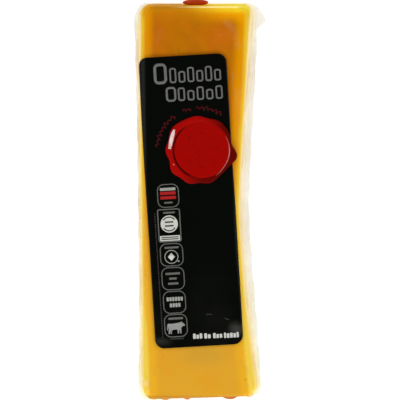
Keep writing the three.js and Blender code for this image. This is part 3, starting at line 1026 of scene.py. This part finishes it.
TITLE_ROWS = [
    (-12.4, 49.9, [5.6], [8.8], 0, 2.1, 1.2),
    (-5.8, 50.1, [2.9] * 6, [6.4, 4.9] * 3, 0.85, 1.0, 0.7),
    (-7.8, 42.3, [4.4], [6.3], 0, 1.6, 0.9),
    (-2.7, 42.4, [3.0] * 5, [5.7, 4.4, 5.7, 4.4, 5.7], 0.95, 1.0, 0.7),
]
SMALL_GAP, SMALL_CORNER = 0.28, 0.3
WEIGHT_ROWS = [
    (-2.4, -58.1, [1.1] * 3, [2.2, 1.7, 2.2]),
    (2.3, -58.2, [1.2] * 2, [2.2, 1.7]),
    (6.0, -58.3, [1.1] * 3, [2.2, 1.7, 1.7]),
    (10.6, -58.5, [0.9, 1.1, 1.1, 1.1, 0.9], [2.3, 1.9, 2.1, 1.9, 2.3]),
]
title = [patch for row in TITLE_ROWS for patch in block_row(*row)]
print_piece("title_blocks", title, ink_finish("title_ink", rgb(112, 112, 109), 0.12))
weight = [patch for row in WEIGHT_ROWS for patch in block_row(*row, SMALL_GAP, SMALL_CORNER)]
print_piece("weight_blocks", weight, ink_finish("pale_ink", rgb(206, 206, 200), 0.15))

# %% [markdown]
# The badges repeat one frame. Their contents differ: bars for words, a pale disc with a dark ring on it,
# and a thin ring round a diamond. The last one holds a plain cow, since a cow says dairy in any language.

# %% The badges' frames and words
BADGE_ACROSS = -9.35
BADGES = [  # along, width, height
    (2.9, 8.8, 9.6), (-22.0, 9.4, 9.4), (-32.1, 9.3, 9.3), (-42.1, 9.2, 9.2), (-52.0, 9.4, 9.4),
]
badge_frames = frames(*((BADGE_ACROSS, *badge, 2.6, 0.42) for badge in BADGES))
badge_frames += frames((-9.6, -9.6, 9.2, 13.6, 0.7, 0.5))
print_piece("badge_frames", badge_frames, ink_finish("frame_ink", rgb(104, 104, 100), 0.2))

small_words = bars(
    (-9.4, 0.0, 3.6, 0.7, 0.3), (-9.4, -4.2, 5.0, 0.7, 0.3), (-9.2, -19.0, 6.0, 0.8, 0.3),
    (-9.4, -30.0, 6.2, 0.9, 0.3), (-9.4, -32.1, 3.2, 0.9, 0.3), (-9.4, -34.2, 4.4, 0.9, 0.3),
    (-9.3, -49.0, 6.2, 0.9, 0.3),
)
print_piece("badge_words", small_words, ink_finish("word_ink", rgb(112, 112, 108), 0.3))

bright_words = bars((-9.4, 5.7, 6.6, 1.2, 0.3))
bright_words += block_row(-12.6, -41.6, [0.95] * 6, [1.7] * 6, 0.22, 0.3)
bright_words += block_row(-11.4, -44.2, [0.95] * 4, [1.7] * 4, 0.22, 0.3)
print_piece("bright_words", bright_words, ink_finish("bright_ink", rgb(166, 166, 160), 0.2))

# %% [markdown]
# Two badges are filled. One has two red stripes below a pale bar, the other a disc and a plate with dark
# marks printed on them, so those marks are lifted by one more layer of ink.

# %% The badges' stripes and disc
stripes = bars((-9.4, 4.0, 6.6, 1.3, 0.2), (-9.4, 2.1, 6.6, 1.3, 0.2))
print_piece("badge_stripes", stripes, ink_finish("red_ink", rgb(176, 34, 34), 0.2), "print_red")

disc = bars((-9.6, -9.0, 7.3, 7.3, 3.65), (-9.6, -15.0, 8.4, 2.2, 0.3))
print_piece("badge_disc", disc, ink_finish("disc_ink", rgb(206, 208, 198), 0.1))
on_disc = [(arc_patch(-9.6, -9.0, 2.9, start, start + 110, 0.45), False) for start in (35, 215)]
on_disc += bars(
    (-9.6, -8.2, 3.6, 0.6, 0.2), (-9.6, -9.8, 3.6, 0.6, 0.2),
    (-9.6, -14.6, 7.2, 0.4, 0.1), (-9.6, -15.4, 7.2, 0.4, 0.1),
)
print_piece("disc_marks", on_disc, ink_finish("dark_ink", rgb(52, 54, 50), 0.1), lift=LABEL_TOP + INK)

# %% [markdown]
# The cow is one outline, drawn as a list of corners and made a thin plate: the outline above, the
# same below, and a band of faces between.

# %% Ring, diamond and cow
COW = [  # across and along in mm, clockwise from the rump
    (-3.3, 1.9), (-1.2, 1.8), (0.9, 2.0), (2.0, 2.3), (2.4, 2.6), (2.7, 2.1), (3.4, 1.6), (3.8, 0.9),
    (3.6, 0.6), (2.9, 0.6), (2.3, 0.1), (2.1, -0.6), (2.1, -2.5), (1.6, -2.5), (1.5, -1.0), (1.2, -1.0),
    (1.1, -2.5), (0.6, -2.5), (0.5, -0.8), (-1.3, -0.8), (-1.7, -1.2), (-2.0, -0.9), (-1.9, -2.5),
    (-2.4, -2.5), (-2.6, -1.1), (-2.8, -2.5), (-3.3, -2.5), (-3.2, -0.5), (-3.4, 0.7), (-3.6, -0.9),
    (-3.9, -0.9), (-3.7, 1.4),
]


def outline_plate(corners, across, along):
    """A thin plate over the sticker from an outline's corners, in millimetres."""
    x, y = (np.array(corners[::-1]) + (across, along)).T * MM
    lower, upper = (on_label(x, y, LABEL_TOP + level) for level in (-INK, INK))
    i = np.arange(len(corners))
    return np.concatenate([lower, upper]), [skin(2, len(corners)), i[None, ::-1], i[None, :] + len(corners)]


cow_ink = ink_finish("cow_ink", rgb(160, 160, 156), 0.15)
make_piece("badge_cow", *outline_plate(COW, -9.3, -52.9), cow_ink, "print_grey")
RING_PLACE = (-9.5, -22.9)
ring = [(arc_patch(*RING_PLACE, 2.75, 0, 360, 0.36)[:-1], True)]
ring += bars((-6.6, -24.9, 0.8, 0.8, 0.4))
print_piece("badge_ring", ring, ink_finish("ring_ink", rgb(160, 160, 154), 0.15))
diamond = outline_plate([(0, 1.7), (1.5, 0), (0, -1.7), (-1.5, 0)], *RING_PLACE)
make_piece("badge_diamond", *diamond, ink_finish("diamond_ink", rgb(220, 220, 214), 0.1), "print_grey")

# %% [markdown]
# A hairline of short strokes runs down beside the badges. A thin dark red scroll follows the seal, a wavy
# line in three lengths. Two short pale arcs near the sticker's foot are painted glints.

# %% Hairline, scroll and painted glints
hair = bars(*((-15.45 + 0.0063 * k, -4.6 - 1.1 * k, 0.42, 0.7 + 0.15 * (k % 3), 0.15) for k in range(48)))
hair += bars((-9.2, -57.6, 5.8, 0.5, 0.2))
print_piece("side_hairline", hair, ink_finish("faint_ink", rgb(62, 58, 58), 0.3))

SEAL_ON_LABEL = (4.9, 21.2)
SCROLL_RADIUS, SCROLL_SWING, SCROLL_LINE = 17.8, 0.9, 0.34
SCROLLS = [(91, 54, 6), (109, 98, 2), (172, 122, 8)]  # from and to in degrees, and how many waves
# painted glints: two short pale arcs near the sticker's foot
LABEL_GLINT_ARCS = [(4.9, -52.0, 4.0, 72, 108, 0.3), (10.4, -54.2, 4.2, 48, 78, 0.3)]


def scroll_patch(start, end, waves):
    """A wavy line that follows an arc from start to end in degrees, as wide across its own run all along.
    The waves lean, since the angle swings a little too, and differ in height."""
    way = np.linspace(0, 1, int(waves * 20) + 1)
    phase = 2 * np.pi * waves * way
    turn = np.radians(start + (end - start) * (way + 0.11 / waves * np.sin(phase - 0.5)))
    swing = SCROLL_SWING * np.sin(phase) * (0.75 + 0.35 * np.sin(0.37 * phase + start))
    around = np.stack([np.cos(turn), np.sin(turn)], axis=1)
    middle = SEAL_ON_LABEL + (SCROLL_RADIUS + swing)[:, None] * around
    ahead = np.gradient(middle, axis=0)
    out = np.stack([ahead[:, 1], -ahead[:, 0]], axis=1) / np.hypot(*ahead.T)[:, None]
    return middle[:, None, :] + out[:, None, :] * SCROLL_LINE * np.array([-0.5, 0.5])[None, :, None]


scroll = [(scroll_patch(*run), False) for run in SCROLLS]
print_piece("seal_scroll", scroll, ink_finish("dark_red_ink", rgb(86, 0, 16), 0.1), "print_red")
label_glint_arcs = [(arc_patch(*glint_arc), False) for glint_arc in LABEL_GLINT_ARCS]
print_piece("label_glint_arcs", label_glint_arcs, ink_finish("label_glint_grey", rgb(66, 68, 64), 0.4), "label")

# %% [markdown]
# ## The seal
# A disc of pressed red, like sealing wax: a fat uneven rim that the stamp pushed out, a sharp step down
# to the stamped middle, and a plain rosette in low relief on it. Seen from above it is a disc with slow
# waves in its outline, and the stamp's round is set a little off its middle.

# %% The seal from above
SEAL_RADIUS, SEAL_X, SEAL_Y = 14.3 * MM, 1.0 * MM, 22.4 * MM
SEAL_FLOOR = LABEL_TOP + GAP
SEAL_LOBES = [  # how many round the disc, how deep as a share of its radius, and the phase
    (3, 0.018, 1.6), (4, 0.012, -2.8), (5, 0.016, 2.6), (6, 0.02, 2.8), (7, 0.016, 3.1), (8, 0.008, 2.5),
    (9, 0.012, -1.4), (10, 0.011, 2.0), (11, 0.011, -2.7),
]
SEAL_BASE, SEAL_EDGE = 0.3 * MM, 0.2 * MM
STAMP_RADIUS = 11.8 * MM
GROOVE_TURN, LIT_TURN = np.radians(190), np.radians(160)
STAMP_X, STAMP_Y = SEAL_X + 0.7 * MM, SEAL_Y + 0.1 * MM


def seal_radius(share, angle):
    """The disc's radius with slow waves on it, that grow with the cube of the share."""
    waves = sum(depth * np.sin(count * angle + phase) for count, depth, phase in SEAL_LOBES)
    return SEAL_RADIUS * share * (1 + share**3 * waves)


def seal_place(share, angle):
    """Where a point of the seal is on the face, from its share of the radius and its angle."""
    radius = seal_radius(share, angle)
    return SEAL_X + radius * np.cos(angle), SEAL_Y + radius * np.sin(angle)


def stamp_polar(x, y):
    """Distance from the stamp's middle as a share of the stamp's radius, and the angle there."""
    across, along = x - STAMP_X, y - STAMP_Y
    return np.hypot(across, along) / STAMP_RADIUS, np.arctan2(along, across)


def petal_reach(turn):
    """How far the rosette's eight petals reach at each angle, as a share of the stamp's radius."""
    return 0.16 + 0.46 * np.abs(np.cos(4 * turn))


print("seal's outline in mm:", round(float(seal_radius(1, np.linspace(0, 6, 99)).max()) / MM, 1), "at most")

# %% [markdown]
# The height is one function of the share of the radius and the angle, so rim, groove, ring and rosette
# are all one closed surface. Sculpting would do too, but the formula keeps the rim's outer edge exact.

# %% The seal's relief
def seal_height(share, angle):
    """Outside the stamp a fat lumpy rim, a half sine from the stamp's edge to the seal's edge. At the
    stamp's edge a groove. Inside it a fine ring, and a rosette of eight petals."""
    out, turn = stamp_polar(*seal_place(share, angle))
    lump = 1 + 0.2 * np.sin(5 * angle + 0.7) + 0.14 * np.sin(9 * angle + 2) + 0.1 * np.sin(14 * angle)
    beyond = np.maximum(0, out - 1)
    way = beyond / np.maximum(beyond + 1.25 * (1 - share), 1e-6)
    rim = (0.3 + 0.2 * np.cos(turn - GROOVE_TURN)) * MM * lump * np.sin(np.pi * np.clip(way, 0, 1)) ** 0.7
    groove = -0.2 * MM * np.exp(-(((out - 1) / 0.03) ** 2)) * (0.6 + 0.4 * np.cos(turn - GROOVE_TURN))
    fine_ring = 0.05 * MM * np.exp(-(((out - 0.9) / 0.016) ** 2))
    petals = 0.1 * MM / (1 + np.exp((out - petal_reach(turn)) / 0.016))
    rosette = petals - 0.1 * MM * np.exp(-((out / 0.1) ** 2))
    edge = np.clip((1 - share) / 0.05, 0, 1)
    relief = SEAL_BASE - SEAL_EDGE + rim + groove + fine_ring + rosette
    return SEAL_EDGE + relief * np.sqrt(edge * (2 - edge))


def seal_rings(spokes=320):
    """Rings over the underside from near the middle outwards, then back in over the upper side."""
    angle = np.linspace(0, 2 * np.pi, spokes, endpoint=False)[None, :]
    under = np.array([0.02, 0.5, 0.97, 1.0])[:, None]
    over = np.concatenate([1 - np.geomspace(0.001, 0.05, 8), np.linspace(0.94, 0.02, 130)])[:, None]
    share = np.concatenate([under, over])
    height = np.concatenate([0 * under * angle, seal_height(over, angle)])
    return on_face(*seal_place(share, angle), SEAL_FLOOR + height)


seal_points, seal_faces = poles(seal_rings())
print("seal's highest point in mm:", round(float(seal_points[:, 2].max()) / MM, 2))

# %% [markdown]
# The red is deep in the stamped middle. On the rim it is painted brighter towards the upper left and
# darker on the other side, painted light and shade, and the groove is painted dark on its left, painted
# shade. Roughness varies a little, like wax that was pressed and not polished.

# %% The seal's finish
def seal_finish():
    """Red of the stamped middle and of the rim with painted light and shade, a groove in painted shade
    between, and faintly darker petals' edges.
    """
    board = Board("seal_red")
    out, lit = board.mark("out"), board.mark("lit")
    clouds = board.noise(0.005, detail=3.0)
    middle = board.mix(clouds * 0.4, rgb(160, 6, 2), rgb(140, 5, 1))
    # painted light and shade on the rim: brighter towards the upper left, darker on the other side
    rim = board.mix(lit.between(-0.5, 0.45), rgb(96, 6, 2), rgb(163, 8, 4))
    colour = board.mix(out.between(0.99, 1.04), middle, rim)
    # painted shade in the groove, on its left side
    groove = out.between(0.95, 0.985) * (1 - out.between(0.995, 1.06)) * board.mark("groove_shade_side")
    colour = board.mix(board.mark("engraved") * clouds.between(0.3, 0.6) * 0.5, colour, rgb(70, 3, 1))
    return board.done(board.plastic(
        Base_Color=board.mix(groove * 0.95, colour, rgb(40, 3, 1)), Roughness=0.46 + clouds * 0.14,
        Normal=board.bump(clouds, 0.0001), Specular_IOR_Level=0.02,
    ))


stamp_out, stamp_turn = stamp_polar(seal_points[:, 0], seal_points[:, 1])
from_petal = np.abs(stamp_out - petal_reach(stamp_turn))
# lit and groove_shade_side carry the painted light and shade
seal_marks = {
    "out": stamp_out, "lit": np.cos(stamp_turn - LIT_TURN),
    "groove_shade_side": np.clip(3 * np.cos(stamp_turn - GROOVE_TURN) - 0.9, 0, 1),
    "engraved": np.clip(1 - from_petal / 0.035, 0, 1),
}
seal = make_piece("seal_disc", seal_points, seal_faces, seal_finish(), "seal", seal_marks)
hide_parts("red_seal")

# %% [markdown]
# Three painted glints stand for highlights on the seal: a broad white streak on the left of the rim, a thin
# crescent on the stamp's right edge and a speck. They are thin patches that follow the relief. To lie on
# it, a patch needs the share and angle of its points, which a few rounds of a fixed-point loop find.

# %% The seal's glints
def on_seal(x, y, lift):
    """A point of the seal's upper surface, lift above it."""
    angle, distance = np.arctan2(y - SEAL_Y, x - SEAL_X), np.hypot(x - SEAL_X, y - SEAL_Y)
    share = distance / SEAL_RADIUS
    for _ in range(8):
        share = share * distance / seal_radius(share, angle)
    return on_face(x, y, SEAL_FLOOR + seal_height(np.minimum(share, 1), angle) + lift)


def glint(start, end, radii, widths, centre):
    """An arc about centre, from start to end in degrees, whose radius and width run through lists."""
    way = np.linspace(0, 1, 40)[:, None]
    angle = np.radians(start + (end - start) * way)
    radius = np.interp(way, np.linspace(0, 1, len(radii)), radii) * MM
    width = np.interp(way, np.linspace(0, 1, len(widths)), widths) * MM
    reach = radius + width * np.linspace(-0.5, 0.5, 7)[None, :]
    x, y = centre[0] + reach * np.cos(angle), centre[1] + reach * np.sin(angle)
    return slab(on_seal(x, y, 0.04 * MM), on_seal(x, y, -0.06 * MM))


def glint_finish(name, bright, dim):
    """A painted glint: a pale colour that is broken up by fine noise."""
    board = Board(name)
    broken = board.noise(0.0012, detail=2.0, stretch=(1, 0.4, 1))
    colour = board.mix(broken.between(0.3, 0.75), bright, dim)
    return board.done(board.plastic(Base_Color=colour, Roughness=0.4))


# painted highlights on the seal
GLINTS = [  # piece, finish, bright and dim colour, from and to in degrees, radii and widths in mm, centre
    ("rim_streak_glint", "white_glint", rgb(240, 222, 220), rgb(214, 172, 170),
     (160.7, 171.9, [43.0], [0.7, 1.5, 1.7, 1.5, 1.1], (30.9 * MM, 16.9 * MM))),
    ("stamp_crescent_glint", "pink_glint", rgb(200, 120, 110), rgb(158, 60, 52),
     (-60, 29, [12.3, 11.85, 11.8, 11.75, 11.6], [0.1, 0.3, 0.45, 0.45, 0.1], (STAMP_X, STAMP_Y))),
    ("rim_speck_glint", "speck_glint", rgb(236, 150, 140), rgb(214, 90, 80),
     (207.5, 210.5, [12.5], [0.2, 0.5, 0.2], (SEAL_X, SEAL_Y))),
]
for piece_name, finish, bright, dim, arc in GLINTS:
    make_piece(piece_name, *glint(*arc), glint_finish(finish, bright, dim), "seal")

# %% [markdown]
# ## Table, light and camera
# The table is a plain pale sheet, lit from below a little like a light table, so that it stays white
# beside a dark object. A curved backdrop would do as well, but no horizon is in sight here.

# %% The table
def table_finish():
    """A pale grey that hardly varies, and glows."""
    board = Board("pale_table")
    grain = board.noise(0.01, detail=2.0)
    colour = board.mix(grain, (0.46, 0.46, 0.455, 1), (0.5, 0.5, 0.495, 1))
    return board.done(board.plastic(
        Base_Color=colour, Roughness=0.8, Emission_Color=(1, 1, 1, 1), Emission_Strength=0.8,
    ))


TABLE_HALF = 1.5
table_mesh = bpy.data.meshes.new("table")
table_corners = [(x * TABLE_HALF, y * TABLE_HALF, 0) for x, y in ((-1, -1), (1, -1), (1, 1), (-1, 1))]
table_mesh.from_pydata(table_corners, [], [(0, 1, 2, 3)])
table_mesh.materials.append(table_finish())
table = bpy.data.objects.new("table", table_mesh)
bpy.context.scene.collection.objects.link(table)
print("table's width in metres:", 2 * TABLE_HALF)

# %% [markdown]
# Two long soft boxes stand on the left and right: they light the bar's rounded edges and leave the
# sticker black, because it mirrors only the dark above. A third, at the foot, brightens the lower half,
# and a weak one at the head keeps the upper half from going dull.

# %% The lights
def soft_box(name, place, aim, size, watts):
    """A rectangular area light at place that faces aim."""
    light = bpy.data.lights.new(name, "AREA")
    light.shape, light.energy = "RECTANGLE", watts
    light.size, light.size_y = size
    box = bpy.data.objects.new(name, light)
    box.location = place
    box.rotation_euler = (Vector(aim) - Vector(place)).to_track_quat("-Z", "Y").to_euler()
    bpy.context.scene.collection.objects.link(box)


SIDE_SIZE, HEAD_SIZE = (0.8, 0.4), (0.8, 0.3)
BOXES = [  # name, place, what it faces, size in metres, watts
    ("left_box", (-0.45, 0.0, 0.36), (0, 0, 0.02), SIDE_SIZE, 1.6),
    ("right_box", (0.45, 0.0, 0.36), (0, 0, 0.02), SIDE_SIZE, 1.6),
    ("foot_box", (0.0, -0.5, 0.4), (0, -0.03, 0.02), SIDE_SIZE, 2.6),
    ("head_box", (0.0, 0.4, 0.45), (0, 0.03, 0.02), HEAD_SIZE, 0.8),
]
for box in BOXES:
    soft_box(*box)

world = bpy.data.worlds.new("studio")
world.use_nodes = True
backdrop = world.node_tree.nodes["Background"].inputs
backdrop["Color"].default_value = (1, 1, 1, 1)
backdrop["Strength"].default_value = 0.12
bpy.context.scene.world = world
bpy.context.scene.view_settings.view_transform = "Standard"
print("soft boxes:", len(BOXES))

# %% [markdown]
# The photograph looks straight at the labelled face through a long lens, from very slightly beyond the
# top end, so that a sliver of that end shows. 400 pixels of it cover 168 mm.

# %% The camera
VIEW_WIDTH = 168 * MM
CAMERA_FAR = 2.5
CAMERA_TILT = np.radians(5.0)
SENSOR = 36.0
PHOTO_MIDDLE = (1.08 * MM, 1.3 * MM)

camera_data = bpy.data.cameras.new("camera")
camera_data.sensor_width = SENSOR
camera_data.lens = SENSOR * CAMERA_FAR / VIEW_WIDTH
camera = bpy.data.objects.new("camera", camera_data)
aim = Vector((PHOTO_MIDDLE[0] + SHIFT[0], PHOTO_MIDDLE[1] + SHIFT[1], BAR_HEIGHT))
camera.location = aim + CAMERA_FAR * Vector((0, np.sin(CAMERA_TILT), np.cos(CAMERA_TILT)))
camera.rotation_euler = (-CAMERA_TILT, 0, 0)
bpy.context.scene.collection.objects.link(camera)
bpy.context.scene.camera = camera
print("lens in mm:", round(camera_data.lens))

# %% [markdown]
# The box round all new pieces should be the packed model's box, apart from a few tenths of a millimetre.
